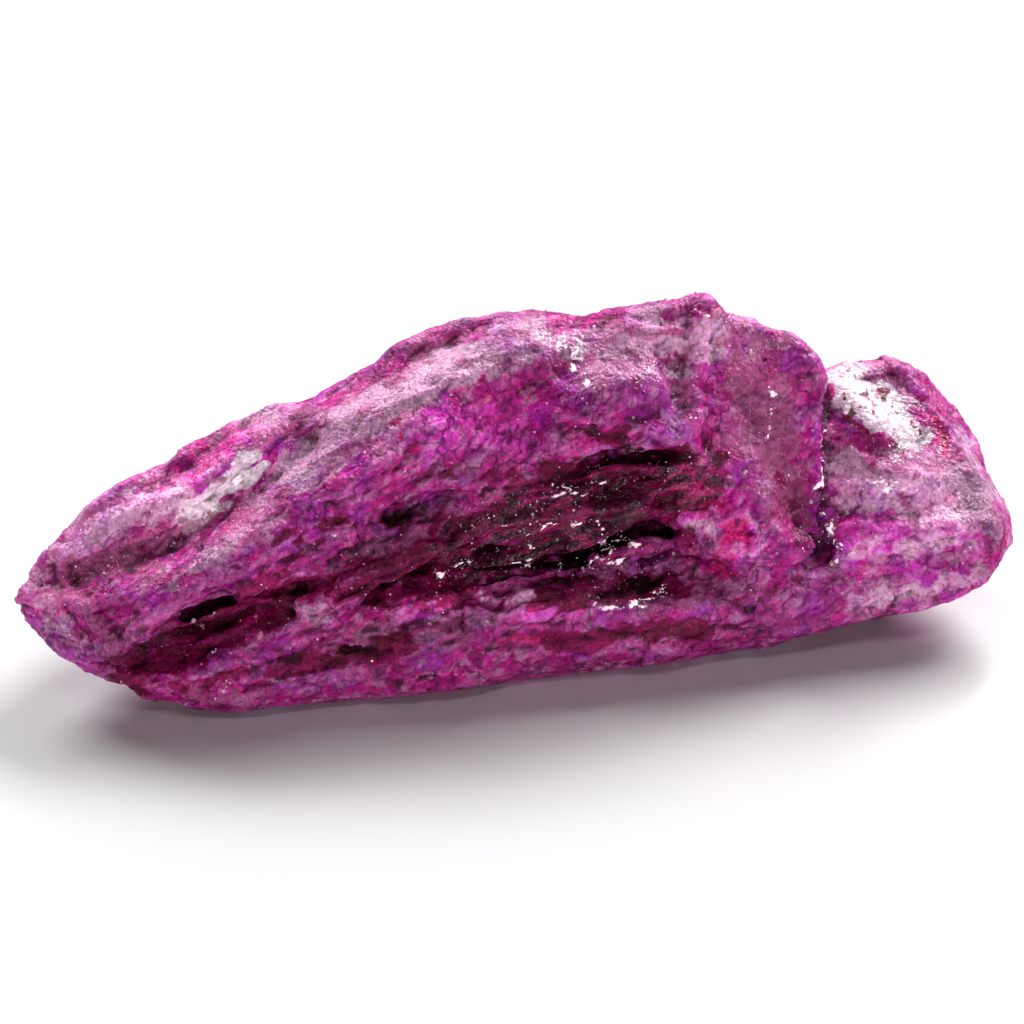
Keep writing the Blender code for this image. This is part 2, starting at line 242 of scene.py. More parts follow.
def fall(part):
    """1 at 0, falling smoothly to 0 at 1."""
    part = np.clip(part, 0, 1)
    return 1 - part * part * (3 - 2 * part)


def rise(values, low, high):
    """0 below low, rising smoothly to 1 above high."""
    return 1 - fall((values - low) / (high - low))


def layered(places):
    """Places with the height measured in layers, which fan out from the tapered end."""
    x, y, z = places.T
    thickness = 14.9 + 0.38 * np.clip(x, -27, 3)
    return np.column_stack((x, y, 15 * (z - 2) / thickness))


def facet_heights(skin, normals, seeds, stretch, tilt, seed):
    """How far each point is from the plane of its nearest facet, along its normal."""
    chance = random.Random(seed)
    picks = chance.sample(range(skin.count), seeds)
    tree = kdtree.KDTree(seeds)
    scaled = layered(skin.places) / np.array(stretch)
    for number, pick in enumerate(picks):
        tree.insert(scaled[pick], number)
    tree.balance()
    planes = []
    for pick in picks:
        lean = Vector([chance.gauss(0, tilt) for _ in range(3)])
        planes.append((Vector(normals[pick]) + lean).normalized())
    nearest = np.array([tree.find(spot)[1] for spot in scaled.tolist()])
    centres = skin.places[np.array(picks)][nearest]
    ways = np.array(planes)[nearest]
    gap = np.einsum("ij,ij->i", centres - skin.places, ways)
    facing = np.clip(np.einsum("ij,ij->i", normals, ways), 0.5, 1)
    return np.clip(gap / facing, -0.6, 0.6)


# Ridges (height above 0) and grooves (below 0) on the oblique front side:
# (points (across, up), width, height).
RELIEF = [
    # The rim over the left hollow, and the shadow line under it.
    ([(-22.2, -0.1), (-20.6, 1.2), (-18, 2.7), (-15.5, 3.6), (-12.9, 5.2)], 0.6, 0.30),
    ([(-22.1, -2), (-21.4, -0.9), (-20.2, 0.2), (-17.4, 1.6), (-15, 2.4)], 0.6, -0.22),
    # The second band and the grey lens, each with the crevice under it.
    ([(-17.2, 2.6), (-14.6, 3.3), (-11.9, 4.4), (-9.1, 5.4), (-6.8, 6.3)], 0.5, 0.25),
    ([(-17.6, 1.7), (-15.8, 1.5), (-12.9, 2.4), (-10.8, 2.8)], 0.5, -0.25),
    ([(-10.8, 3.6), (-8.8, 4.6), (-6.3, 5.8), (-4.8, 6.8)], 0.35, -0.40),
    ([(-10.4, 2.9), (-7.8, 3.8), (-5.3, 4.9)], 0.6, 0.25),
    ([(-10.2, 2), (-7.6, 2.9), (-5.1, 4), (-3.6, 5)], 0.4, -0.50),
    ([(-7.6, 6.4), (-6.6, 6.6), (-5.4, 6.9)], 0.30, -0.45),
    # The crest between the pale roof and the purple face.
    ([(-14.2, 6.8), (-12, 7.3), (-9.1, 8.5), (-7.6, 10.1), (-5.9, 12.2)], 0.5, 0.18),
    ([(-12.8, 6.5), (-9.6, 7.5), (-7.2, 9), (-5, 11)], 0.6, -0.20),
    # The rim of the tapered end's own facet.
    ([(-26.4, 4.6), (-26.7, 2.3), (-24.6, 1.1), (-23.1, -1.1), (-22.7, -3)], 0.6, 0.30),
    ([(-27.2, 3.6), (-26.2, 1), (-24.4, -0.8)], 0.5, -0.20),
    # Behind the pale roof: the rear lumps' edge.
    ([(-19.2, 6.5), (-17.2, 8.3), (-14.4, 10.2), (-12.5, 12), (-10.6, 13.4)], 0.45, -0.15),
    ([(-9.5, 11.6), (-6.4, 13.6), (-2.8, 15.2), (1, 16.2)], 0.5, -0.15),
    ([(-11.4, 9.4), (-8, 12.4), (-3.4, 14.6)], 0.4, 0.15),
    # The slit and the pale lip low on the front.
    ([(-10.3, -1.2), (-8.9, -1.3), (-7.5, -1.3)], 0.35, -0.70),
    ([(-6.9, 0.8), (-3.3, 1.8), (0.1, 2.5), (2.5, 2.8)], 0.6, 0.30),
    ([(-6.5, 0.1), (-3, 1.1), (1.5, 1.7)], 0.4, -0.30),
    # The nose: its lower edge, and the worn layers in the deep hollow below.
    ([(2.3, 12.4), (3.9, 12.1), (6.4, 11.7), (8.8, 11), (10.3, 10.6)], 0.5, 0.25),
    ([(2.3, 11.6), (6.4, 11), (10, 9.9)], 0.4, -0.30),
    ([(-2.2, 7.6), (2.5, 8.8), (4.6, 9.2)], 0.30, -0.25),
    ([(4.9, 1.9), (6.4, 2.2), (8.4, 2.8)], 0.42, -0.80),
    # The flat facet's left edge, and its step down to the end block.
    ([(11.2, 19), (10.4, 14.7), (10.1, 10.9), (10.6, 9.7)], 1, 0.28),
    ([(12, 17.6), (11.5, 14), (11.3, 10.6)], 0.8, -0.12),
    ([(18.9, 15.6), (19, 13.6), (18.7, 10.5), (18.3, 5.4)], 0.35, -0.22),
    # The worn foot of the facet.
    ([(16.6, 5.6), (18.2, 4.8)], 1.3, -0.30),
    # The red part's pale rim.
    ([(11.8, 6.3), (13.4, 6.6), (14.2, 5.4), (13.9, 4.1)], 0.5, 0.25),
    ([(8.4, 3.6), (10.4, 4.6), (12.4, 4.4)], 0.5, 0.2),
    ([(10.4, 7.8), (12.6, 8.2), (14.6, 7.4)], 0.4, 0.15),
    # The end block: its bright face's lower edge and its glassy steps.
    ([(19, 12), (20.6, 10.3), (21.9, 9.4), (23.5, 8.9), (26.5, 8.7)], 0.5, 0.16),
    ([(23.5, 16), (25.3, 14.4), (26.1, 12.7), (27.2, 10.8), (27.7, 9.2)], 0.5, 0.25),
    ([(19.4, 6.7), (21.6, 6.9), (24, 6.6)], 0.4, -0.12),
    ([(19.4, 5.6), (21.2, 5.9), (23.2, 5.5), (26.6, 5.7)], 0.4, 0.25),
    ([(18.6, 2.7), (20.9, 3.6), (24, 4.3), (26.1, 4.8)], 0.35, -0.06),
    # The long layers of the base.
    ([(11.7, 1.5), (16.3, 2.3), (22, 2.9), (27.3, 4.5)], 0.5, -0.12),
    ([(-2.2, 0.6), (3.5, -0.1), (8.5, -0.9), (13.2, -0.2)], 0.3, -0.30),
    ([(-16.6, -3.6), (-12.6, -2.5), (-8, -1.7), (-3.9, -0.9)], 0.3, -0.25),
    ([(-5, -0.4), (1, -0.9), (7, -1.6), (13, -1.3)], 0.35, 0.20),
]

# Where the broken surface is calmer: (points, width, share of the roughness taken away).
CALM = [
    ([(19.6, 4.6), (24, 5), (28.6, 6)], 3.6, 0.8),
    ([(20, 10.6), (24, 9), (28, 10)], 2.4, 0.5),
    ([(-27, 1.6), (-25, 3.4)], 2.4, 0.5),
    ([(12, 2.2), (18, 2.4), (26, 3.6)], 1.8, 0.4),
    ([(14.6, 17.4), (15, 12), (15.4, 6.4)], 4.6, 0.85),
    ([(-24, 6.4), (-18, 7.6), (-9.7, 12), (0.7, 17)], 3.8, 0.8),
    ([(-8, 7), (-4, 9.4), (1, 12)], 3, 0.45),
    ([(-22, 1.6), (-16.3, 4.6), (-13, 6)], 1.6, 0.4),
    ([(21.6, 13.4), (24.4, 11.6)], 3.6, 0.75),
    ([(5, 15.6), (8.6, 14.6)], 2.6, 0.45),
    ([(26, 6.4), (28.8, 6.2)], 2.4, 0.5),
]

# Where thin sheets are torn: (points, width).
TORN = [
    ([(-2.8, 4.6), (1, 6.6), (5, 7.4), (9.6, 8.6)], 3.6),
    ([(2, 9.4), (6, 10), (10.2, 9.8)], 1.8),
    ([(-10, 3), (-6, 4.2), (-2, 5.4)], 1.6),
    ([(0, 2.4), (5, 2.6), (9.6, 3.4)], 1.4),
]

# Where the oblique side's skyline sags: (points, width, drop).
SKYLINE = [
    ([(-12.8, 14), (-10.8, 15)], 2.2, 0.50),
    ([(0, 19), (9.4, 19.8)], 1.8, 0.32),
    ([(13.2, 19), (15, 18.2)], 1.8, 0.45),
    ([(18.4, 16.2), (23.6, 16), (26, 13.6), (27.6, 10.8)], 1.8, 0.40),
    ([(-27, 5.6), (-26.2, 6.6)], 1.6, 0.40),
]


def side_places(places):
    """(across, up) of each place on the oblique front side."""
    return np.column_stack((places @ np.array(SIDE_ACROSS), places @ np.array(SIDE_UP)))


def stroke_mark(spots, points, width):
    """1 on the line through points, falling to 0 at width from it."""
    nearest = np.full(len(spots), 1e9)
    if len(points) == 1:
        points = points * 2
    for start, end in zip(points, points[1:]):
        start = np.array(start)
        run = np.array(end) - start
        share = np.clip((spots - start) @ run / max(run @ run, 1e-9), 0, 1)
        gap = spots - start - share[:, None] * run
        nearest = np.minimum(nearest, np.hypot(gap[:, 0], gap[:, 1]))
    return fall(nearest / width)


def drawn(spots, strokes, combine=np.maximum):
    """The strokes (points, width, strength) at each spot: the strongest of them, or their sum."""
    total = np.zeros(len(spots))
    for points, width, strength in strokes:
        total = combine(total, strength * stroke_mark(spots, points, width))
    return total


def grain_borders(skin, size, stretch, seed):
    """Grown-together grains: each point's depth inside its grain, and its grain's own number."""
    chance = random.Random(seed)
    bend = noises_at(skin.places, [size * 0.7] * 3, (seed + 0.3, seed + 5.1, seed + 9.7))
    spots = (layered(skin.places) + 0.4 * size * bend) / np.array(stretch)
    cells = {}
    for index, cell in enumerate(np.floor(spots / size).astype(int).tolist()):
        cells.setdefault(tuple(cell), []).append(index)
    tree = kdtree.KDTree(len(cells))
    numbers = []
    for members in cells.values():
        tree.insert(spots[chance.choice(members)], len(numbers))
        numbers.append(chance.random())
    tree.balance()
    depth = np.zeros(skin.count)
    own = np.zeros(skin.count)
    for index, spot in enumerate(spots.tolist()):
        first, second = tree.find_n(spot, 2)
        depth[index] = (second[2] - first[2]) / size
        own[index] = numbers[first[1]]
    return depth, own


def leant(across, up, lean):
    """How far each point is along and off a line that leans up to the right."""
    along = across * math.cos(lean) + up * math.sin(lean)
    off = up * math.cos(lean) - across * math.sin(lean)
    return along, off


def sheets(skin, spots):
    """The thin torn sheets of the deep hollow, from 0 to 1."""
    along, off = leant(spots[:, 0], spots[:, 1], SHEET_LEAN)
    flow = np.column_stack((along, skin.places[:, 1], off))
    broad = 1 - 2.4 * np.abs(noise_at(flow, (3.4, 2.0, 0.9), 4.4))
    fine = 1 - 2.4 * np.abs(noise_at(flow, (1.5, 1.2, 0.4), 8.3))
    return 0.6 * broad + 0.4 * fine


def stroke_heights(skin, spots, shown, rough, broad):
    """How far out the drawn relief, the torn sheets and the broad worn facets lie."""
    height = shown * drawn(spots, RELIEF, np.add)
    torn = shown * drawn(spots, [(points, width, 1) for points, width in TORN])
    height += 0.26 * torn * sheets(skin, spots)
    chips = facet_heights(skin, broad, BROAD_FACETS, (2.4, 1.7, 1.4), 0.12, 3)
    return height + 0.45 * np.clip(chips, -0.28, 0.28) * (0.15 + 0.85 * rough)


def grain_heights(skin, rough, broad):
    """How far out the small facets, layers, grains and pits lie."""
    chips = facet_heights(skin, broad, FACETS, (1.3, 1.0, 0.8), 0.26, 5)
    height = 0.28 * np.clip(chips, -0.13, 0.13)
    deep = layered(skin.places)
    height += 0.035 * noise_at(deep, (4.0, 1.2, 0.6), 3.1)
    height += 0.03 * noise_at(deep, (1.4, 0.8, 0.33), 7.7)
    height += 0.06 * (rise(skin.grain, 0, 0.3) - 1)
    height += 0.025 * (rise(skin.crumb, 0, 0.4) - 0.5)
    height -= 0.22 * np.clip(noise_at(skin.places, (1.0, 1.0, 0.7), 5.0) - 0.42, 0, 1)
    height -= 0.14 * np.clip(noise_at(skin.places, (0.5, 0.5, 0.5), 6.0) - 0.42, 0, 1)
    height *= 0.12 + 0.88 * rough
    return height + 0.022 * noise_at(skin.places, (0.42, 0.42, 0.42), 1.3) * (0.35 + 0.65 * rough)


def sculpt(skin):
    """Turns the smooth skin into hackly, layered, pitted broken stone."""
    skin.places = skin.smoothed(skin.places, 2)
    normals = skin.normals()
    broad = skin.smoothed(normals, 10)
    broad /= np.linalg.norm(broad, axis=1)[:, None]
    # The relief fades out towards the foot, which stays flat.
    push = broad * rise(skin.places[:, 2], 0.03, 1.2)[:, None]
    shown = rise(normals @ np.array(SIDE_OUT), 0.0, 0.35)
    spots = side_places(skin.places)
    spots += 0.5 * noises_at(skin.places, (1.5, 1.5, 1.5), (2.2, 8.8))
    spots += 0.2 * noises_at(skin.places, (0.5, 0.5, 0.5), (1.2, 3.8))
    rough = np.ones(skin.count)
    for points, width, share in CALM:
        rough *= 1 - share * shown * stroke_mark(spots, points, width)
    height = stroke_heights(skin, spots, shown, rough, broad)
    skin.places = skin.places + push * height[:, None]
    skin.places = skin.smoothed(skin.places, 1, 0.3)
    spots = side_places(skin.places)
    for points, width, drop in SKYLINE:
        sag = drop * stroke_mark(spots, points, width)
        skin.places = skin.places - sag[:, None] * np.array(SIDE_UP)
    skin.grain, skin.tint = grain_borders(skin, LARGE_GRAIN, (1.4, 1.0, 0.85), 21)
    skin.crumb, skin.tone = grain_borders(skin, SMALL_GRAIN, (1.2, 1.0, 0.9), 22)
    skin.places = skin.places + push * grain_heights(skin, rough, broad)[:, None]
    low = np.array(cad_low) / MM + EDGE_GAP
    high = np.array(cad_high) / MM - EDGE_GAP
    low[2] = 0
    skin.places = np.clip(skin.places, low, high)
    skin.write()


# ---------------------------------------------------------------- stains, cavities, painted light and shade, and painted glints

# Stains on the oblique front side, some of them painted shade and painted highlight: {name: [(points
# (across, up), width, strength)]}.
STAINS = {
    "pale": [
        ([(-12.5, 8.9), (-9.7, 11.6), (-6.9, 13.7), (-2.8, 15.8), (0.7, 16.9)], 2.6, 1),
        ([(-24.8, 6.3), (-22.4, 7.1), (-20.1, 7.4)], 2.4, 0.9),
        ([(-20.9, 2.6), (-16.3, 4.6), (-14.1, 5.8)], 1.2, 0.5),
        ([(2.8, 16.2), (4.8, 16.8), (7.2, 16.2), (9.6, 15.1)], 1.7, 0.75),
        ([(-13.5, 1.6), (-11.4, 0.5)], 1.1, 0.8),
        ([(0.1, 2.1), (2.5, 1.8), (6, 1.3)], 0.6, 0.7),
        ([(-5.4, 1.5), (-1, 1.7), (2.4, 1.6)], 0.7, 0.7),
        ([(27.6, 11.8), (28.4, 7.4), (29.3, 5.3)], 1.4, 0.8),
        ([(20, 7.4), (23, 6.8), (26.1, 6.8)], 1.6, 0.7),
        ([(11.9, 6.3), (13.4, 6.6), (14.2, 5.4), (13.9, 4.1)], 0.55, 0.8),
        ([(-27.7, 1.6), (-26.4, -0.1), (-24.5, -1.2)], 1.4, 0.5),
        ([(-15.6, 12.4), (-12, 14)], 1.2, 0.6),
        ([(7.6, 17.8), (11.2, 16.8)], 2.2, 1),
        ([(20.5, 8.2), (24.5, 7.6), (28, 7.6)], 3.2, 0.85),
        ([(20.4, 4.4), (24.5, 4.8), (28.8, 5.6)], 1.4, 0.6),
        ([(-26.4, 4.6), (-22, 6.8)], 2, 0.8),
        ([(19.6, 9.4), (24, 8.6), (27.6, 8.6)], 1.6, 0.9),
        ([(12.6, 18), (14, 16)], 1.6, 0.5),
        ([(9.6, 6.8), (12, 8.6)], 0.8, 0.6),
        ([(20, 1.4), (24, 1.8), (28, 3)], 1.2, 0.8),
        ([(9.8, 5.4), (11.6, 6.6), (12, 4.2)], 0.9, 0.55),
        ([(10.8, 8.6), (13.6, 8.4)], 0.8, 0.55),
    ],
    # Milky white patches that are partly painted highlight.
    "white": [
        ([(-18.9, 6.3), (-17.5, 7.7), (-15.4, 9.6)], 1.6, 1),
        ([(20.6, 14.4), (22.4, 13), (24, 11.4)], 2.8, 1),
        ([(3.4, 17.4), (3.6, 15)], 0.6, 0.5),
    ],
    # Mostly painted shade in crevices, slits and under rims.
    "dark": [
        ([(-22, -2), (-20.8, -0.8), (-18, 1.2), (-14.6, 2.4)], 0.4, 0.35),
        ([(-7.7, 6.4), (-6.6, 6.6), (-5.2, 6.9)], 0.55, 1),
        ([(3.2, 4), (4.8, 4.6), (6.2, 5.4), (8.4, 6)], 0.4, 1),
        ([(4.9, 1.9), (6.4, 2.2), (8.4, 2.8)], 0.5, 1),
        ([(4.9, 9.8), (7.9, 10), (10.2, 9.8)], 0.35, 1),
        ([(-1.6, 3.8), (1, 3.9), (3, 4.1)], 0.3, 0.9),
        ([(-10.3, -1.2), (-7.7, -1.3)], 0.25, 1),
        ([(14.8, 15.8)], 0.35, 0.8),
        ([(20, 14), (20.6, 12.6)], 0.5, 0.6),
    ],
    # Partly wine-red stone and partly painted shade on the low faces and in the hollows.
    "wine": [
        ([(-5, 3.4), (0, 5.4), (5, 6.8), (10, 8.4)], 4.2, 1),
        ([(0, 8), (5, 9.2), (10.4, 9.4)], 1.8, 0.9),
        ([(-22, -2.4), (-18, -0.4), (-13.8, 1.8)], 2.6, 1),
        ([(-10.4, 2.2), (-3, 2)], 1.6, 0.8),
        ([(1.6, 1.8), (9.6, 2.6)], 1.6, 0.9),
        ([(9, 7), (10.2, 4.6)], 1, 0.6),
        ([(-19.6, -3.2), (-14.6, -2.6)], 1.4, 0.6),
        ([(-6.6, 8.6), (-3.6, 8.4), (0.2, 8.6)], 1.2, 0.45),
        ([(-13.5, -2.2), (-10, -1.7), (-6.5, -1.2)], 1.2, 0.9),
        ([(2, -0.9), (6.5, -0.5), (11, -0.1)], 1.3, 0.8),
        ([(-16, 4.2), (-13, 5.4), (-10, 6.4)], 1.2, 0.5),
        ([(2, 11.2), (6, 11.4), (9.6, 11)], 1.4, 0.45),
        ([(15.4, 8.4), (16.6, 5.4)], 2, 0.45),
        ([(-14.6, 2.6), (-10.4, 2)], 1.4, 0.8),
        ([(-10.4, 3.2), (-4, 4.4)], 1.3, 0.9),
        ([(-4, 5), (0, 6.2), (4, 7), (8, 7.6)], 2.6, 1),
        ([(-7.7, 6.4), (-6.6, 6.6), (-5.4, 6.9)], 0.8, 0.9),
        ([(20.9, 14.8), (21.9, 13)], 0.30, 0.8),
        ([(22.4, 14.4), (23.3, 12.4)], 0.30, 0.8),
        ([(23.8, 13.4), (24.5, 11.6)], 0.30, 0.8),
        ([(20, 12.6), (21.6, 11.4), (23.4, 10.4)], 0.30, 0.7),
    ],
    "olive": [
        ([(-25.7, 3.3), (-23.5, 3.7), (-20.4, 4.9), (-17.8, 6.4)], 1.1, 1),
        ([(-26.4, 4.6), (-26.7, 2.3), (-24.6, 1.1), (-23.1, -1.1), (-22.7, -3)], 0.6, 0.8),
        ([(-15.5, 10.6), (-13.8, 11.5), (-12.1, 12.4)], 0.9, 0.9),
        ([(-6.9, 16.1), (-4, 16.9)], 0.8, 0.7),
        ([(4.9, 17.8), (7.8, 17.4), (10.2, 16.8)], 1, 0.7),
        ([(-10.3, 3.3), (-7.9, 4.1), (-5.7, 5)], 0.8, 0.9),
        ([(-9.7, -0.7), (-6.8, -1.3), (-2.8, -0.9)], 0.6, 0.8),
        ([(6, -0.8), (8.4, -0.4), (10.8, 0)], 0.7, 0.9),
        ([(-18.9, -3.9), (-16.9, -4.1), (-14.9, -3.6)], 0.6, 0.8),
        ([(13.6, 16.6), (15, 12), (16.2, 7.4)], 3.6, 0.80),
        ([(-25, 3.4), (-21, 4.6)], 1.6, 1),
        ([(-9.8, 3.6), (-5.6, 5.2)], 1.1, 1),
    ],
    "violet": [
        ([(8.6, 12.6), (10, 11.2)], 0.8, 0.8),
        ([(5, 1.6), (7.6, 0.8)], 0.7, 0.7),
        ([(-7, 0.6), (-3.6, 0.4)], 0.7, 0.6),
        ([(-15.6, 4.4), (-13, 5.2)], 0.7, 0.7),
        ([(-26.4, 0.2), (-24.8, -1.4)], 0.7, 0.6),
        ([(18.6, 5.2), (20.2, 4)], 0.8, 0.8),
        ([(10.9, 19.2), (11, 15)], 0.5, 0.6),
        ([(10.2, 5.8), (11, 4.8)], 0.6, 0.8),
        ([(-6.8, 8.8), (-3, 8.6)], 0.8, 0.6),
        ([(-24, 8.4), (-22, 7.4)], 0.5, 0.6),
        ([(13.2, 3.6), (16.4, 3.2)], 0.8, 0.6),
    ],
    "vivid": [
        ([(-5, 11.2), (-1.6, 11.8), (0.7, 10.7)], 2.4, 1),
        ([(19.6, 1.9), (23, 2.8), (27.9, 4.1)], 1, 0.9),
        ([(4.8, 12.6), (7.7, 13.4)], 1.4, 0.8),
        ([(-12.4, 6.3), (-9.6, 7.4)], 1.3, 0.7),
        ([(-20, 3.6), (-16, 5.6)], 0.6, 0.5),
        ([(20.2, 5.6), (24, 5.4), (28.4, 6)], 2, 0.8),
        ([(10.2, 7.4), (12.2, 8.2), (13.8, 6.4)], 1, 0.5),
        ([(-3, 1), (2, 0.9), (7, 0.6)], 0.9, 0.6),
    ],
    "red": [
        ([(10.6, 7.6), (13.6, 6), (12.4, 3.6)], 2.4, 0.45),
        ([(11.7, 7.4), (13, 6.2), (11.9, 3.9)], 1.4, 0.6),
        ([(-7.2, 11.6), (-5.8, 10.4)], 0.9, 0.6),
        ([(-1.7, 13.6)], 0.35, 1),
        ([(25.9, 12.7), (26.2, 10.5)], 0.4, 0.9),
        ([(-18.9, 8.9), (-17.8, 9.3)], 0.25, 0.9),
        ([(-1, -0.7), (2.5, -0.8)], 0.8, 0.6),
        ([(-21, -1.6), (-16, 0.6)], 1.8, 0.6),
        ([(-2, 4), (8, 5)], 2, 0.4),
    ],
    "wet": [
        ([(-2.8, 4.4), (3.7, 6.6), (10.1, 8.8)], 3.4, 1),
        ([(2.4, 15.6), (5, 15), (9, 13.6)], 2.2, 0.7),
        ([(3.4, 17.6), (3.6, 15)], 1, 1),
        ([(20.6, 13.9), (23, 13.6), (25.1, 11.8), (23.3, 11.1)], 2.2, 0.6),
        ([(19.2, 13), (19.4, 6.4)], 0.9, 0.9),
        ([(19.4, 6.7), (23, 6.6), (27, 6)], 1, 0.7),
        ([(15.3, 14.4), (15, 11.2)], 0.5, 1),
        ([(10.8, 18.6), (10.4, 14), (10.6, 10)], 0.8, 0.8),
        ([(-9.6, 12.6), (-3, 15.8)], 1.2, 0.6),
        ([(-18.7, 6.5), (-15.6, 9.4)], 1.2, 0.7),
    ],
}

# Painted light and shade on the oblique front side, lightening and darkening the colour: (points,
# width, gain on the colour).
PAINTED_LIGHT_AND_SHADE = [
    ([(-28, 1.2), (-26.4, 1.8)], 2, 1.4),
    ([(-25.6, 5.6), (-22.8, 7), (-20.4, 7.8)], 2.6, 1.55),
    ([(-19.4, 6.6), (-17.2, 8.8), (-15.2, 10.2)], 2.2, 2),
    ([(-25.8, 2.6), (-21.8, 3.4)], 1.2, 0.8),
    ([(-26.8, 3.8), (-21, 5.2)], 0.9, 1.5),
    ([(3, 11.6), (9.8, 11.4)], 1.6, 1.3),
    ([(-4.6, 11.6), (0.2, 12.2)], 2.6, 1.5),
    ([(-9.4, 9.4), (-4.2, 10)], 2.4, 1.2),
    ([(-15.4, 4.8), (-10.4, 6)], 1.8, 1.25),
    ([(10.4, 7.8), (12.2, 6.6), (13.6, 5.2)], 3, 2),
    ([(-6, 1.2), (-1, 1.4), (2.8, 1.2)], 1.5, 2),
    ([(-20.2, -3.4), (-15.6, -3)], 1.6, 1.35),
    ([(-22, -1.6), (-17, 0.4)], 1.8, 0.7),
    ([(-14.6, 2.2), (-11, 2.4)], 1.4, 1.7),
    ([(2.8, -0.4), (11, 0.2)], 1.2, 1.4),
    ([(19.5, 1.6), (27, 2.4)], 1.6, 1.5),
    ([(13, 16.6), (15.6, 15)], 3, 1.4),
    ([(16.2, 7.8), (17.6, 5.6)], 2.2, 0.75),
    ([(7.4, 17), (11, 17)], 2, 1.55),
    ([(3.6, 14.4), (7.4, 14.2)], 2.2, 0.85),
    ([(19.6, 7.8), (25.4, 7.2)], 2.2, 1.65),
    ([(20.2, 4.4), (24, 4.4), (26.6, 4.8)], 2.2, 1.9),
    ([(23.2, 10.8), (26.4, 9.8)], 1.8, 0.75),
    ([(27.4, 8.6), (28.6, 5.6)], 1.8, 0.65),
    ([(17.2, 4.9), (18.2, 4.4)], 1, 0.6),
    ([(20.8, 14), (24.4, 11.6)], 2.2, 1.35),
    ([(-7.7, 6.4), (-5.2, 6.9)], 1, 0.4),
]

# Painted glints: white lines along broken edges on the oblique front side: (points, width).
PAINTED_GLINTS = [
    ([(-0.8, 7.6), (-0.4, 7.5)], 0.30),
    ([(0.7, 7.2), (1.7, 7.6), (2.8, 7.7), (3.8, 7.9)], 0.30),
    ([(2.2, 8.2), (3, 8)], 0.25),
    ([(3.9, 8.3), (4.8, 8.1), (5.7, 8.2)], 0.22),
    ([(4.4, 8.9), (5.4, 8.8)], 0.22),
    ([(-2.2, 6.2), (-1.2, 6.3), (-0.2, 6.2)], 0.26),
    ([(0.1, 5.1), (1.2, 5.7), (2.2, 6)], 0.30),
    ([(3.4, 5.9), (4.8, 5.7)], 0.30),
    ([(0.4, 4.6), (1.2, 4.3)], 0.30),
    ([(5.2, 4.7), (6.2, 5.1), (7.2, 4.6)], 0.52),
    ([(4.3, 3.4), (4.9, 3.9), (5.5, 3.7)], 0.50),
    ([(-0.3, 3.8), (0.4, 3.4)], 0.42),
    ([(2.1, 3.6), (2.6, 3.3)], 0.34),
    ([(4.2, 1.7), (5.4, 1.1), (7, 1.2), (8.8, 2.1)], 0.50),
    ([(6.6, 1.5), (7.8, 1.9)], 0.40),
    ([(-4.9, 3.1), (-3.2, 3.7), (-2, 4.2)], 0.30),
    ([(15.3, 14.1), (15.2, 13.4)], 0.42),
    ([(15.2, 12.9), (15.1, 12.3)], 0.42),
    ([(15, 11.8), (14.9, 11.4)], 0.36),
    ([(18.7, 11.6), (18.6, 9), (18.3, 6.6)], 0.34),
    ([(3.5, 15.6), (4.2, 14.2), (4, 13.2)], 0.42),
    ([(1.2, 17.4), (2.6, 16.6), (3.4, 15.2)], 0.40),
    ([(-18.6, 6.4), (-17.2, 7.6), (-15.6, 9.2)], 0.50),
    ([(18.6, 6.6), (18.9, 5.6), (19.3, 4.9), (19, 3.6)], 0.30),
    ([(20.8, 8.6), (22.6, 8.2), (25, 7.8)], 0.34),
]

# How far noise tears each stain's edge, and its patches on the other sides:
# {name: (how far torn, patch size, where patches start, strength)}.
PATCHES = {
    "pale": (0.55, (5.5, 5.5, 3.2), 0.05, 0.9),
    "white": (0.7, (3.2, 3.2, 1.8), 0.34, 0.7),
    "dark": (0.5, (4.4, 4.4, 1.5), 0.30, 0.6),
    "olive": (0.5, (6.5, 6.5, 1.6), 0.20, 0.8),
    "vivid": (0.4, (5.0, 5.0, 3.4), 0.14, 0.8),
    "red": (0.6, (3.6, 3.6, 2.2), 0.28, 0.8),
    "wet": (0.8, (5.0, 5.0, 3.4), 0.10, 0.9),
    "wine": (0.6, (5.0, 5.0, 2.6), 0.18, 0.65),
    "violet": (0.7, (3.6, 3.6, 2.0), 0.24, 0.8),
}


def openness(skin, normals):
    """Share of the sky that each point sees past the rest of the stone."""
    faces = [tuple(polygon.vertices) for polygon in stone_node.data.polygons]
    corners = [vert.co / MM for vert in stone_node.data.vertices]
    tree = BVHTree.FromPolygons(corners, faces)
    chance = random.Random(11)
    ways = [Vector([chance.gauss(0, 1) for _ in range(3)]).normalized() for _ in range(SKY_RAYS)]
    seen = np.zeros(skin.count)
    for index, (place, normal) in enumerate(zip(skin.places.tolist(), normals.tolist())):
        normal = Vector(normal)
        spot = Vector(place) + normal * SKY_START
        free = 0
        for way in ways:
            ray = (normal * 1.05 + way).normalized()
            if tree.ray_cast(spot, ray, SKY_REACH)[0] is None:
                free += 1
        seen[index] = free / SKY_RAYS
    return seen


def mark_stains(skin, spots, shown):
    """The stains, with the painted shade and painted highlight among them, as strokes on the oblique
    side and as patches on the other sides.
    """
    marks = {}
    for name, strokes in STAINS.items():
        torn, size, low, strength = PATCHES[name]
        field = cloud_at(skin.places, size, 1.7 * len(name) + size[0], 3)
        patch = strength * rise(field, low, low + 0.3)
        mark = drawn(spots, strokes) * shown + patch * (1 - shown)
        ragged = cloud_at(layered(skin.places), (1.6, 1.0, 0.8), 2.3 * len(name), 3)
        marks[name] = rise(mark + torn * ragged * (mark > 0.02), 0.12, 0.80)
        skin.mark(name, marks[name])
    return marks


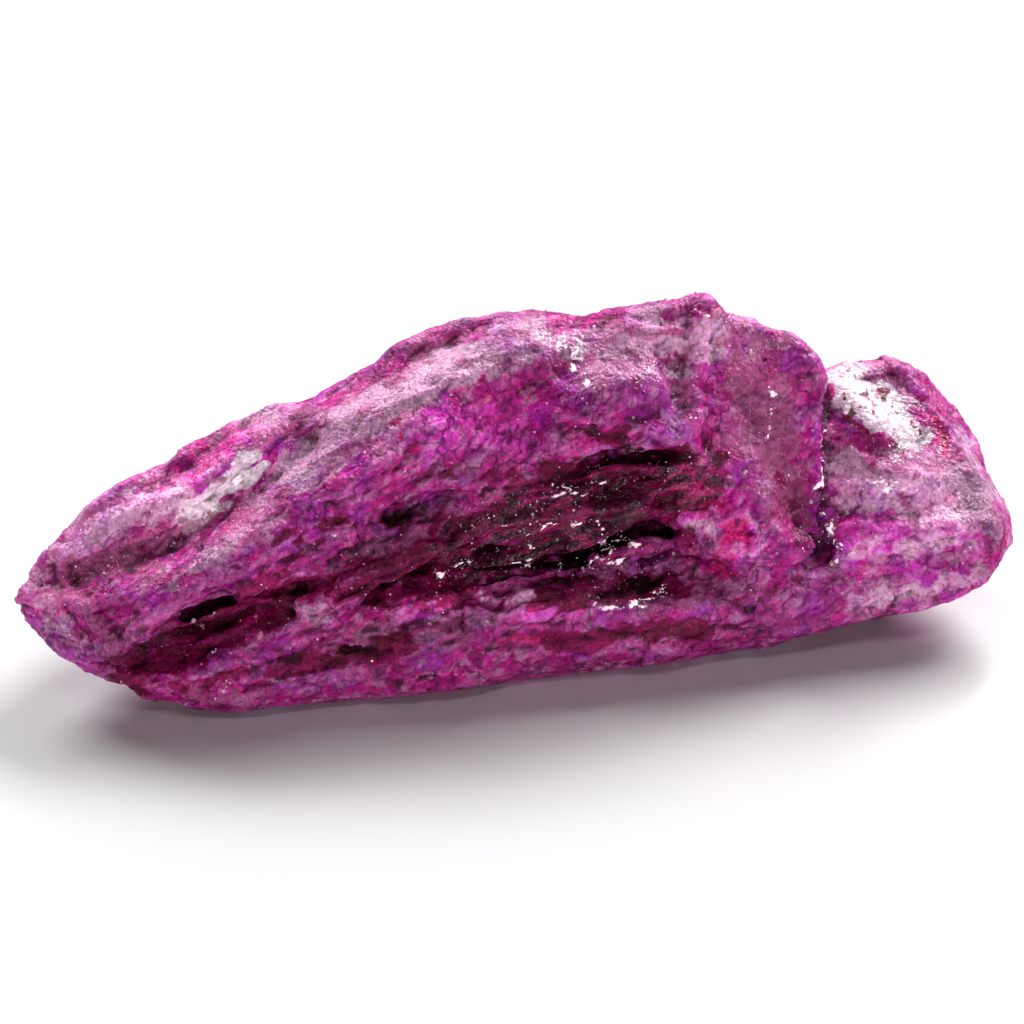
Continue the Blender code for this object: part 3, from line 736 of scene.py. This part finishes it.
def mark_cavities(skin, normals, seen):
    """Painted shade in closed-in hollows and small dips, and the small ridges."""
    soft = skin.smoothed(skin.places, 8)
    hollow = np.einsum("ij,ij->i", soft - skin.places, normals) * 5
    # Painted shade: darker where little sky is seen past the stone, and in small dips.
    skin.mark("painted_sky_shade", rise(-seen, -0.52, -0.06))
    skin.mark("painted_dip_shade", rise(hollow, 0.08, 0.40))
    skin.mark("ridge", rise(-hollow, 0.08, 0.40))


def mark_grains(skin, marks, pale_share):
    """Milky and wine-dark grains, and where veins and hair cracks run between grains."""
    veined = rise(noise_at(skin.places, (3.0, 3.0, 3.0), 2.7), -0.25, 0.2)
    skin.mark("vein", fall(skin.grain / 0.22) * veined)
    middle = rise(skin.crumb, 0.05, 0.40)
    skin.mark("milk", rise(skin.tone, 0.62, 0.72) * middle)
    skin.mark("winegrain", rise(-skin.tone, -0.26, -0.16) * middle * (1 - pale_share))
    cracked = rise(noise_at(skin.places, (2.2, 2.2, 2.0), 3.7), -0.35, 0.10)
    cracked *= 1 - 0.5 * pale_share
    cracked *= 1 - np.maximum(marks["olive"], 0.75 * marks["white"])
    skin.mark("cracked", cracked)


def mark_layers(skin, pale_share):
    """Places bent for the hair cracks, places drawn out along the layers, and their streaks."""
    swirl = [cloud_at(skin.places, (1.5, 1.5, 1.5), seed, 3) for seed in (0.9, 4.6, 7.2)]
    bend = np.column_stack(swirl)
    skin.mark_vector("bent", skin.places + 1.1 * bend)
    deep = layered(skin.places) + 0.35 * bend
    along, off = leant(deep[:, 0], deep[:, 2], LAYER_LEAN)
    skin.mark_vector("flow", np.column_stack((along / 1.8, deep[:, 1] / 0.9, off / 0.30)))
    streaked = rise(noise_at(skin.places, (5.0, 4.0, 3.0), 5.9), -0.35, 0.15) * (1 - pale_share)
    skin.mark("streaked", streaked)


def mark_specks_glints_and_shade(skin, spots, shown):
    """Where white specks gather, the lines of painted glints, and the painted light and shade."""
    dusted = 0.5 * rise(noise_at(skin.places, (3.4, 3.4, 3.0), 7.1), -0.1, 0.3)
    gathered = [(points, width, times / 12) for points, width, times in CRUMB_PLACES]
    skin.mark("dusted", np.maximum(dusted, shown * drawn(spots, gathered)))
    glint_strokes = [(points, 1.4 * width, 1) for points, width in PAINTED_GLINTS]
    skin.mark("painted_glint", shown * drawn(spots, glint_strokes))
    gains = [(points, width, gain - 1) for points, width, gain in PAINTED_LIGHT_AND_SHADE]
    # Painted light and shade: the strokes' gains, with the other sides painted darker, to 0.74.
    shade = 0.74 + 0.26 * shown + shown * drawn(spots, gains, np.add)
    skin.mark("shade", shade / 2)


def mark_skin(skin):
    """Works out where the stone is pale, dark, stained, wet or hollow, and where light, shade and
    glints are painted.
    """
    normals = skin.normals()
    shown = rise(normals @ np.array(SIDE_OUT), -0.05, 0.3)
    spots = side_places(skin.places)
    spots += 0.7 * noises_at(skin.places, (1.1, 1.1, 0.9), (2.9, 6.4))
    spots += 0.25 * noises_at(skin.places, (0.4, 0.4, 0.35), (1.9, 9.4))
    cloud = cloud_at(layered(skin.places), (1.9, 1.3, 1.1), 4.1)
    skin.mark("cloud", 0.5 + 0.5 * (0.75 * cloud + 0.5 * (skin.tint - 0.5)))
    skin.mark("blue", rise(cloud_at(skin.places, (2.6, 2.6, 2.2), 6.6, 3), 0.0, 0.35))
    skin.mark("blot", rise(cloud_at(skin.places, (1.5, 1.3, 1.1), 8.2, 3), 0.16, 0.5))
    seen = skin.smoothed(openness(skin, normals)[:, None], 2)[:, 0]
    broad = cloud_at(skin.places, (4.6, 4.0, 3.6), 1.1)
    top = rise(normals[:, 2], 0.45, 0.9) * rise(seen, 0.5, 0.9) * rise(broad, -0.25, 0.25)
    skin.mark("top", top)
    marks = mark_stains(skin, spots, shown)
    pale_share = np.maximum(marks["pale"], 0.6 * top)
    mark_cavities(skin, normals, seen)
    mark_grains(skin, marks, pale_share)
    mark_layers(skin, pale_share)
    mark_specks_glints_and_shade(skin, spots, shown)


# ---------------------------------------------------------------- the stone's material


class Nodes:
    """Short calls for building a node tree."""

    def __init__(self, material):
        material.use_nodes = True
        self.tree = material.node_tree
        self.shader = self.tree.nodes["Principled BSDF"]

    def add(self, kind, values=None, **settings):
        node = self.tree.nodes.new(kind)
        for name, setting in settings.items():
            setattr(node, name, setting)
        for name, value in (values or {}).items():
            self.put(node.inputs[name], value)
        return node

    def put(self, socket, value):
        if isinstance(value, bpy.types.NodeSocket):
            self.tree.links.new(value, socket)
        else:
            socket.default_value = value

    def set(self, name, value):
        """Sets or links one of the shader's own sockets."""
        self.put(self.shader.inputs[name], value)

    def math(self, operation, first, second=0.0, third=0.0):
        values = {0: first, 1: second, 2: third}
        return self.add("ShaderNodeMath", values, operation=operation).outputs[0]

    def times(self, first, second):
        return self.math("MULTIPLY", first, second)

    def step(self, value, low, high):
        """0 below low, rising smoothly to 1 above high."""
        node = self.add(
            "ShaderNodeMapRange", {"Value": value, "From Min": low, "From Max": high},
            interpolation_type="SMOOTHSTEP",
        )
        return node.outputs[0]

    def mark(self, name):
        return self.add("ShaderNodeAttribute", attribute_name=name).outputs["Fac"]

    def mix(self, share, first, second, blend="MIX"):
        node = self.add("ShaderNodeMix", data_type="RGBA", blend_type=blend)
        self.put(node.inputs[0], share)
        self.put(node.inputs[6], first)
        self.put(node.inputs[7], second)
        return node.outputs[2]

    def place(self):
        """The point's place in millimetres."""
        source = self.add("ShaderNodeTexCoord").outputs["Object"]
        return self.add("ShaderNodeMapping", {"Vector": source, "Scale": [1 / MM] * 3}).outputs[0]

    def noise(self, place, size, detail, rough):
        values = {"Vector": place, "Scale": 1 / size, "Detail": detail, "Roughness": rough}
        return self.add("ShaderNodeTexNoise", values).outputs[0]

    def scaled(self, name, share):
        """A mark times a share."""
        return self.times(self.mark(name), share)

    def torn(self, name, fine, low=0.30, high=0.70, reach=0.9):
        """A mark whose edge is torn by the fine noise."""
        mark = self.mark(name)
        moved = self.math("MULTIPLY_ADD", fine, reach, self.math("ADD", mark, -0.5 * reach))
        return self.times(self.step(moved, low, high), self.step(mark, 0.0, 0.15))

    def attribute(self, name):
        """A vector stored on the mesh."""
        return self.add("ShaderNodeAttribute", attribute_name=name).outputs["Vector"]

    def tilted(self, normal, cells, reach):
        """The normal leant a different way in each small crystal, which makes them glint."""
        lean = self.add("ShaderNodeVectorMath", {0: cells, 1: (0.5, 0.5, 0.5)}, operation="SUBTRACT")
        scaled = self.add("ShaderNodeVectorMath", {0: lean.outputs[0]}, operation="SCALE")
        self.put(scaled.inputs["Scale"], reach)
        total = self.add("ShaderNodeVectorMath", {0: normal, 1: scaled.outputs[0]})
        return self.add("ShaderNodeVectorMath", {0: total.outputs[0]}, operation="NORMALIZE").outputs[0]

    def cell_node(self, place, size, feature="F1"):
        values = {"Vector": place, "Scale": 1 / size}
        return self.add("ShaderNodeTexVoronoi", values, feature=feature)


SUGAR = 0.17  # across each tiny crystal of the grain
PAINTED_GLOW = 0.50  # painted glow of the white specks and of the painted glint streaks

MAGENTA = (0.78, 0.014, 0.35, 1)
ROSE = (0.84, 0.095, 0.45, 1)
LILAC = (0.80, 0.17, 0.63, 1)
VIOLET = (0.48, 0.030, 0.60, 1)
PERIWINKLE = (0.56, 0.12, 0.66, 1)
VIVID = (0.86, 0.05, 0.57, 1)
WINE = (0.16, 0.0008, 0.028, 1)
PLUM = (0.38, 0.010, 0.16, 1)
LAVENDER = (0.84, 0.42, 0.67, 1)
MAUVE = (0.74, 0.20, 0.46, 1)
# WHITE is partly milky stone and partly painted highlight.
WHITE = (1.0, 0.80, 0.92, 1)
RED = (0.74, 0.010, 0.17, 1)
OLIVE = (0.48, 0.120, 0.26, 1)
CHERRY = (0.44, 0.004, 0.13, 1)
MILK = (0.82, 0.34, 0.62, 1)
# MAROON is mostly painted shade in crevices.
MAROON = (0.035, 0.0005, 0.007, 1)
INK = (0.13, 0.002, 0.09, 1)
SPECK = (1.0, 0.78, 0.90, 1)
HOT_PINK = (0.90, 0.16, 0.36, 1)


def grown_colour(n, fine, cloud, strata):
    """The colours that the stone grew with: clouds, grains, layers and stains, with white patches that
    are partly painted highlight.
    """
    colour = n.mix(n.step(cloud, 0.22, 0.42), PLUM, MAGENTA)
    colour = n.mix(n.step(cloud, 0.42, 0.60), colour, ROSE)
    colour = n.mix(n.step(cloud, 0.60, 0.82), colour, LILAC)
    colour = n.mix(n.scaled("blue", 0.60), colour, VIOLET)
    colour = n.mix(n.times(n.torn("violet", fine), 0.8), colour, PERIWINKLE)
    colour = n.mix(n.scaled("vivid", 0.75), colour, VIVID)
    colour = n.mix(n.scaled("milk", 0.70), colour, MILK)
    colour = n.mix(n.scaled("winegrain", 0.60), colour, PLUM)
    stripes = n.times(n.step(strata, 0.52, 0.36), n.scaled("streaked", 0.65))
    colour = n.mix(stripes, colour, PLUM)
    milky = n.mix(n.step(cloud, 0.20, 0.54), MAUVE, LAVENDER)
    colour = n.mix(n.scaled("top", 0.60), colour, milky)
    colour = n.mix(n.torn("pale", fine, 0.2, 0.8, 0.5), colour, milky)
    colour = n.mix(n.times(n.torn("red", fine), 0.85), colour, RED)
    # White patches: partly milky stone, partly painted highlight.
    colour = n.mix(n.torn("white", fine), colour, WHITE)
    return n.mix(n.times(n.torn("olive", fine), 0.75), colour, OLIVE)


def cracked_colour(n, colour, fine):
    """Hair cracks of uneven width, and veins between the large grains."""
    web = n.cell_node(n.attribute("bent"), 1.5, "DISTANCE_TO_EDGE").outputs["Distance"]
    width = n.math("MULTIPLY_ADD", fine, 0.44, -0.10)
    hair = n.times(n.step(n.math("DIVIDE", web, width), 1.0, 0.0), n.mark("cracked"))
    colour = n.mix(n.times(hair, 0.78), colour, INK)
    return n.mix(n.scaled("vein", 0.50), colour, n.mix(n.scaled("pale", 0.8), INK, VIOLET))


def sunken_colour(n, colour, fine, cloud, strata, wet):
    """Dark blots, pale ridges, wine-red hollows that are partly painted shade, and painted shade that
    makes crevices nearly black.
    """
    colour = n.mix(n.times(n.torn("blot", fine), 0.6), colour, PLUM)
    colour = n.mix(n.scaled("ridge", 0.35), colour, LILAC)
    lit = n.math("MAXIMUM", n.step(strata, 0.42, 0.56), n.math("MULTIPLY_ADD", wet, -0.8, 0.8))
    deep = n.mix(lit, MAROON, n.mix(n.step(cloud, 0.34, 0.66), WINE, CHERRY))
    # Wine-red stone, partly painted shade on the low faces and in the hollows.
    colour = n.mix(n.times(n.torn("wine", fine), 0.92), colour, deep)
    # Painted shade: dark strokes, closed-in hollows and small dips go nearly black.
    dark = n.times(n.torn("dark", fine), 0.95)
    dark = n.math("MAXIMUM", dark, n.torn("painted_sky_shade", fine, 0.25, 0.85))
    dark = n.math("MAXIMUM", dark, n.scaled("painted_dip_shade", 0.8))
    return n.mix(dark, colour, MAROON)


def sugar_grain(n, fine, sugar):
    """How light each tiny crystal is, about 1, but never dark in the white patches, which are partly
    painted highlight, all times the painted light and shade.
    """
    grain = n.math("MULTIPLY_ADD", fine, 1.5, -0.15)
    grain = n.math("MULTIPLY_ADD", sugar.outputs["Color"], 0.8, grain)
    grain = n.math("MAXIMUM", grain, n.scaled("white", 0.88))
    # Painted light and shade, as a gain of up to 2.
    return n.times(grain, n.scaled("shade", 2.0))


def specks_and_painted_glints(n, fine, strata, sugar):
    """A few of the tiny crystals, white and partly painted glints, and painted glint streaks along the
    broken edges.
    """
    thick = n.math("ADD", n.scaled("dusted", 0.08), n.scaled("painted_glint", 0.24))
    chosen = n.step(n.math("ADD", sugar.outputs["Color"], thick), 0.955, 0.965)
    size = n.math("MULTIPLY_ADD", fine, 0.80, -0.08)
    reach = n.math("DIVIDE", sugar.outputs["Distance"], size)
    speck_and_glint = n.times(chosen, n.step(reach, 1.1, 0.8))
    painted_glint_streak = n.math("MULTIPLY_ADD", fine, 0.5, n.math("ADD", strata, n.scaled("painted_glint", 0.36)))
    painted_glint_streak = n.times(n.step(painted_glint_streak, 1.09, 1.18), n.scaled("painted_glint", 1.7))
    return n.math("MAXIMUM", speck_and_glint, painted_glint_streak)


def stone_material():
    """Wet purple corundum: mottled, veined, stained and speckled, with painted light and shade, painted
    glints, and painted shade that makes its crevices black.
    """
    material = bpy.data.materials.new("purple corundum")
    # The painted glow of the specks and glints is left out of the lamps that are sampled.
    material.cycles.emission_sampling = "NONE"
    n = Nodes(material)
    place = n.place()
    fine = n.noise(place, 0.30, 3.0, 0.75)
    strata = n.noise(n.attribute("flow"), 1.0, 2.0, 0.6)
    sugar = n.cell_node(place, SUGAR)
    cloud = n.math("MULTIPLY_ADD", fine, 0.16, n.math("ADD", n.mark("cloud"), -0.08))
    wet = n.torn("wet", fine, 0.25, 0.6)
    colour = grown_colour(n, fine, cloud, strata)
    colour = cracked_colour(n, colour, fine)
    colour = sunken_colour(n, colour, fine, cloud, strata, wet)
    colour = n.mix(1.0, colour, sugar_grain(n, fine, sugar), "MULTIPLY")
    speck_and_glint = specks_and_painted_glints(n, fine, strata, sugar)
    # White specks and painted glints, with a painted glow that keeps them white in shade.
    n.set("Base Color", n.mix(speck_and_glint, colour, SPECK))
    n.set("Emission Color", SPECK)
    n.set("Emission Strength", n.times(speck_and_glint, PAINTED_GLOW))
    n.set("Roughness", n.math("MULTIPLY_ADD", fine, 0.25, 0.40))
    n.set("Coat Weight", n.math("MULTIPLY_ADD", wet, 0.32, 0.15))
    n.set("IOR", 1.76)
    n.set("Specular IOR Level", 0.05)
    n.set("Coat Roughness", 0.09)
    n.set("Coat IOR", 1.7)
    relief = n.noise(place, 0.32, 1.5, 0.7)
    bump = n.add("ShaderNodeBump", {"Height": relief, "Strength": 0.9, "Distance": 0.21 * MM})
    n.set("Normal", bump.outputs[0])
    loose = n.math("MULTIPLY_ADD", wet, -0.28, 0.42)
    n.set("Coat Normal", n.tilted(bump.outputs[0], sugar.outputs["Color"], loose))
    return material


# ---------------------------------------------------------------- crumbs stuck to the stone

CRUMBS = 1500
BIG_CRUMBS = 46

# Where crumbs gather on the oblique front side: (points, width, how many times the usual).
CRUMB_PLACES = [
    ([(-26.8, 2), (-23.6, 3.7), (-20.4, 4.8)], 1.4, 14),
    ([(-19, 6), (-15, 9.6)], 1.6, 6),
    ([(-5, 2.6), (1, 3.6), (6, 3), (10, 4.4)], 1.4, 9),
    ([(-3, 6), (4, 8), (10, 9.6)], 2, 5),
    ([(10.6, 18.6), (12.4, 18.2)], 1, 16),
    ([(10.4, 9.8), (12.6, 9)], 1.2, 9),
    ([(14.6, 3.4), (18.4, 5), (19, 8)], 1.3, 8),
    ([(-16, -0.8), (-12, 0.6)], 1.4, 4),
    ([(2, 1.4), (8, 1.2), (14, 2.4)], 0.8, 5),
    ([(-20, -3.6), (-14, -2.8)], 1.2, 4),
]

# Single big grains: (across, up, radius, share of pink from white 0 to 1).
SINGLE_GRAINS = [
    (-15.0, -0.3, 0.30, 0.8),
    (11.9, 18.5, 0.34, 0.8),
    (11.3, 18.3, 0.22, 0.6),
    (-1.6, 13.3, 0.24, 1.0),
    (-9.9, 4.7, 0.20, 1.0),
    (10.7, 9.5, 0.24, 0.9),
    (12.4, 8.6, 0.18, 0.7),
    (18.9, 3.9, 0.20, 0.7),
]


def unit_grain():
    """The corners and faces of a rough round grain, one millimetre in radius."""
    shape = bmesh.new()
    bmesh.ops.create_icosphere(shape, subdivisions=1, radius=1)
    shape.verts.ensure_lookup_table()
    corners = np.array([vert.co[:] for vert in shape.verts])
    faces = np.array([[vert.index for vert in face.verts] for face in shape.faces])
    shape.free()
    return corners, faces


def grain_spots(skin, normals):
    """Where grains stick: (place, outward way, radius, pinkness) of each."""
    chance = random.Random(31)
    shown = rise(normals @ np.array(SIDE_OUT), 0.0, 0.3)
    sides = side_places(skin.places)
    weight = 0.4 + rise(normals[:, 2], -0.2, 0.6)
    for points, width, times in CRUMB_PLACES:
        weight += times * shown * stroke_mark(sides, points, width)
    weight *= rise(skin.places[:, 2], 0.3, 1.0)
    reach = np.cumsum(weight)
    found = []
    for number in range(CRUMBS):
        index = int(np.searchsorted(reach, chance.random() * reach[-1]))
        radius = 0.03 + 0.05 * chance.random() ** 2
        if number < BIG_CRUMBS:
            radius = 0.09 + 0.06 * chance.random()
        found.append((skin.places[index], normals[index], radius, chance.random() ** 0.8))
    for across, up, radius, pinkness in SINGLE_GRAINS:
        gap = np.hypot(sides[:, 0] - across, sides[:, 1] - up) + 9.0 * (shown < 0.3)
        nearest = np.flatnonzero(gap < gap.min() + 0.25)
        index = nearest[np.argmax(skin.places[nearest] @ np.array(SIDE_OUT))]
        found.append((skin.places[index], normals[index], radius, pinkness))
    return found


def add_crumbs(skin):
    """Tiny white and pink grains stuck all over the stone, thick where dust gathers."""
    chance = np.random.default_rng(8)
    corners, faces = unit_grain()
    places = []
    polygons = []
    pinkness = []
    for centre, way, radius, pink in grain_spots(skin, skin.normals()):
        stretch = chance.uniform(0.7, 1.3, 3)
        turn = np.linalg.qr(chance.normal(size=(3, 3)))[0]
        lumpy = corners * chance.uniform(0.75, 1.2, (len(corners), 1))
        polygons.append(faces + len(places) * len(corners))
        places.append(centre + way * radius * 0.35 + (lumpy * stretch * radius) @ turn)
        pinkness.append(np.full(len(corners), pink))
    low = np.array(cad_low) / MM
    high = np.array(cad_high) / MM
    places = np.clip(np.concatenate(places), low, high)
    mesh = bpy.data.meshes.new("surface_crumbs")
    mesh.from_pydata((places * MM).tolist(), [], np.concatenate(polygons).tolist())
    add_mark(mesh, "pink", np.concatenate(pinkness))
    mesh.materials.append(crumb_material())
    crumbs = bpy.data.objects.new("surface_crumbs", mesh)
    bpy.context.scene.collection.objects.link(crumbs)
    return crumbs


def crumb_material():
    """Broken corundum grains, from milky white to hot pink."""
    material = bpy.data.materials.new("corundum crumbs")
    n = Nodes(material)
    colour = n.mix(n.step(n.mark("pink"), 0.35, 1.0), SPECK, HOT_PINK)
    n.set("Base Color", colour)
    n.set("Roughness", 0.16)
    return material


stone = closed_copy(stone_node)
refine(stone, SKIN_VOXEL)
skin = Skin(stone.data)
sculpt(skin)
mark_skin(skin)
for polygon in stone.data.polygons:
    polygon.use_smooth = True
stone.data.materials.append(stone_material())

for piece in (stone, add_crumbs(skin)):
    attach(piece, "root")
    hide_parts("sapphire_crystal")

# ---------------------------------------------------------------- the table and the light


def plain_material(name, colour, roughness):
    made = bpy.data.materials.new(name)
    made.use_nodes = True
    principled = made.node_tree.nodes["Principled BSDF"]
    principled.inputs["Base Color"].default_value = (*colour, 1)
    principled.inputs["Roughness"].default_value = roughness
    return made


def add_table():
    """A wide white table."""
    mesh = bpy.data.meshes.new("table")
    shape = bmesh.new()
    bmesh.ops.create_grid(shape, size=3)
    shape.to_mesh(mesh)
    shape.free()
    mesh.materials.append(plain_material("table", (0.86, 0.86, 0.87), 0.25))
    table = bpy.data.objects.new("table", mesh)
    bpy.context.scene.collection.objects.link(table)


def add_softbox(name, place, size, power):
    """A square area light, in millimetres and watts, turned towards the stone."""
    light = bpy.data.lights.new(name, "AREA")
    light.shape = "RECTANGLE"
    light.size, light.size_y = size[0] * MM, size[1] * MM
    light.energy = power
    box = bpy.data.objects.new(name, light)
    box.location = Vector(place) * MM
    box.rotation_euler = (CAMERA_AIM - box.location).to_track_quat("-Z", "Y").to_euler()
    bpy.context.scene.collection.objects.link(box)


def add_world(strength):
    world = bpy.data.worlds.new("pale room")
    world.use_nodes = True
    sky = world.node_tree.nodes["Background"]
    sky.inputs["Color"].default_value = (1, 1, 1, 1)
    sky.inputs["Strength"].default_value = strength
    bpy.context.scene.world = world


def add_camera():
    lens = bpy.data.cameras.new("camera")
    lens.lens = CAMERA_LENS
    lens.clip_start = 0.005
    camera = bpy.data.objects.new("camera", lens)
    camera.location = CAMERA_AIM + SIDE_OUT * CAMERA_DISTANCE
    camera.rotation_euler = (-SIDE_OUT).to_track_quat("-Z", "Y").to_euler()
    bpy.context.scene.collection.objects.link(camera)
    bpy.context.scene.camera = camera


add_table()
add_softbox("right softbox", (250, 190, 280), (240, 160), 2.15)
add_softbox("left softbox", (-150, 280, 285), (200, 150), 1.30)
add_softbox("front softbox", (0, -400, 115), (80, 50), 0.30)
add_softbox("top window", (10, -200, 350), (240, 60), 0.14)
add_world(0.03)
add_camera()
bpy.context.scene.view_settings.view_transform = "Standard"
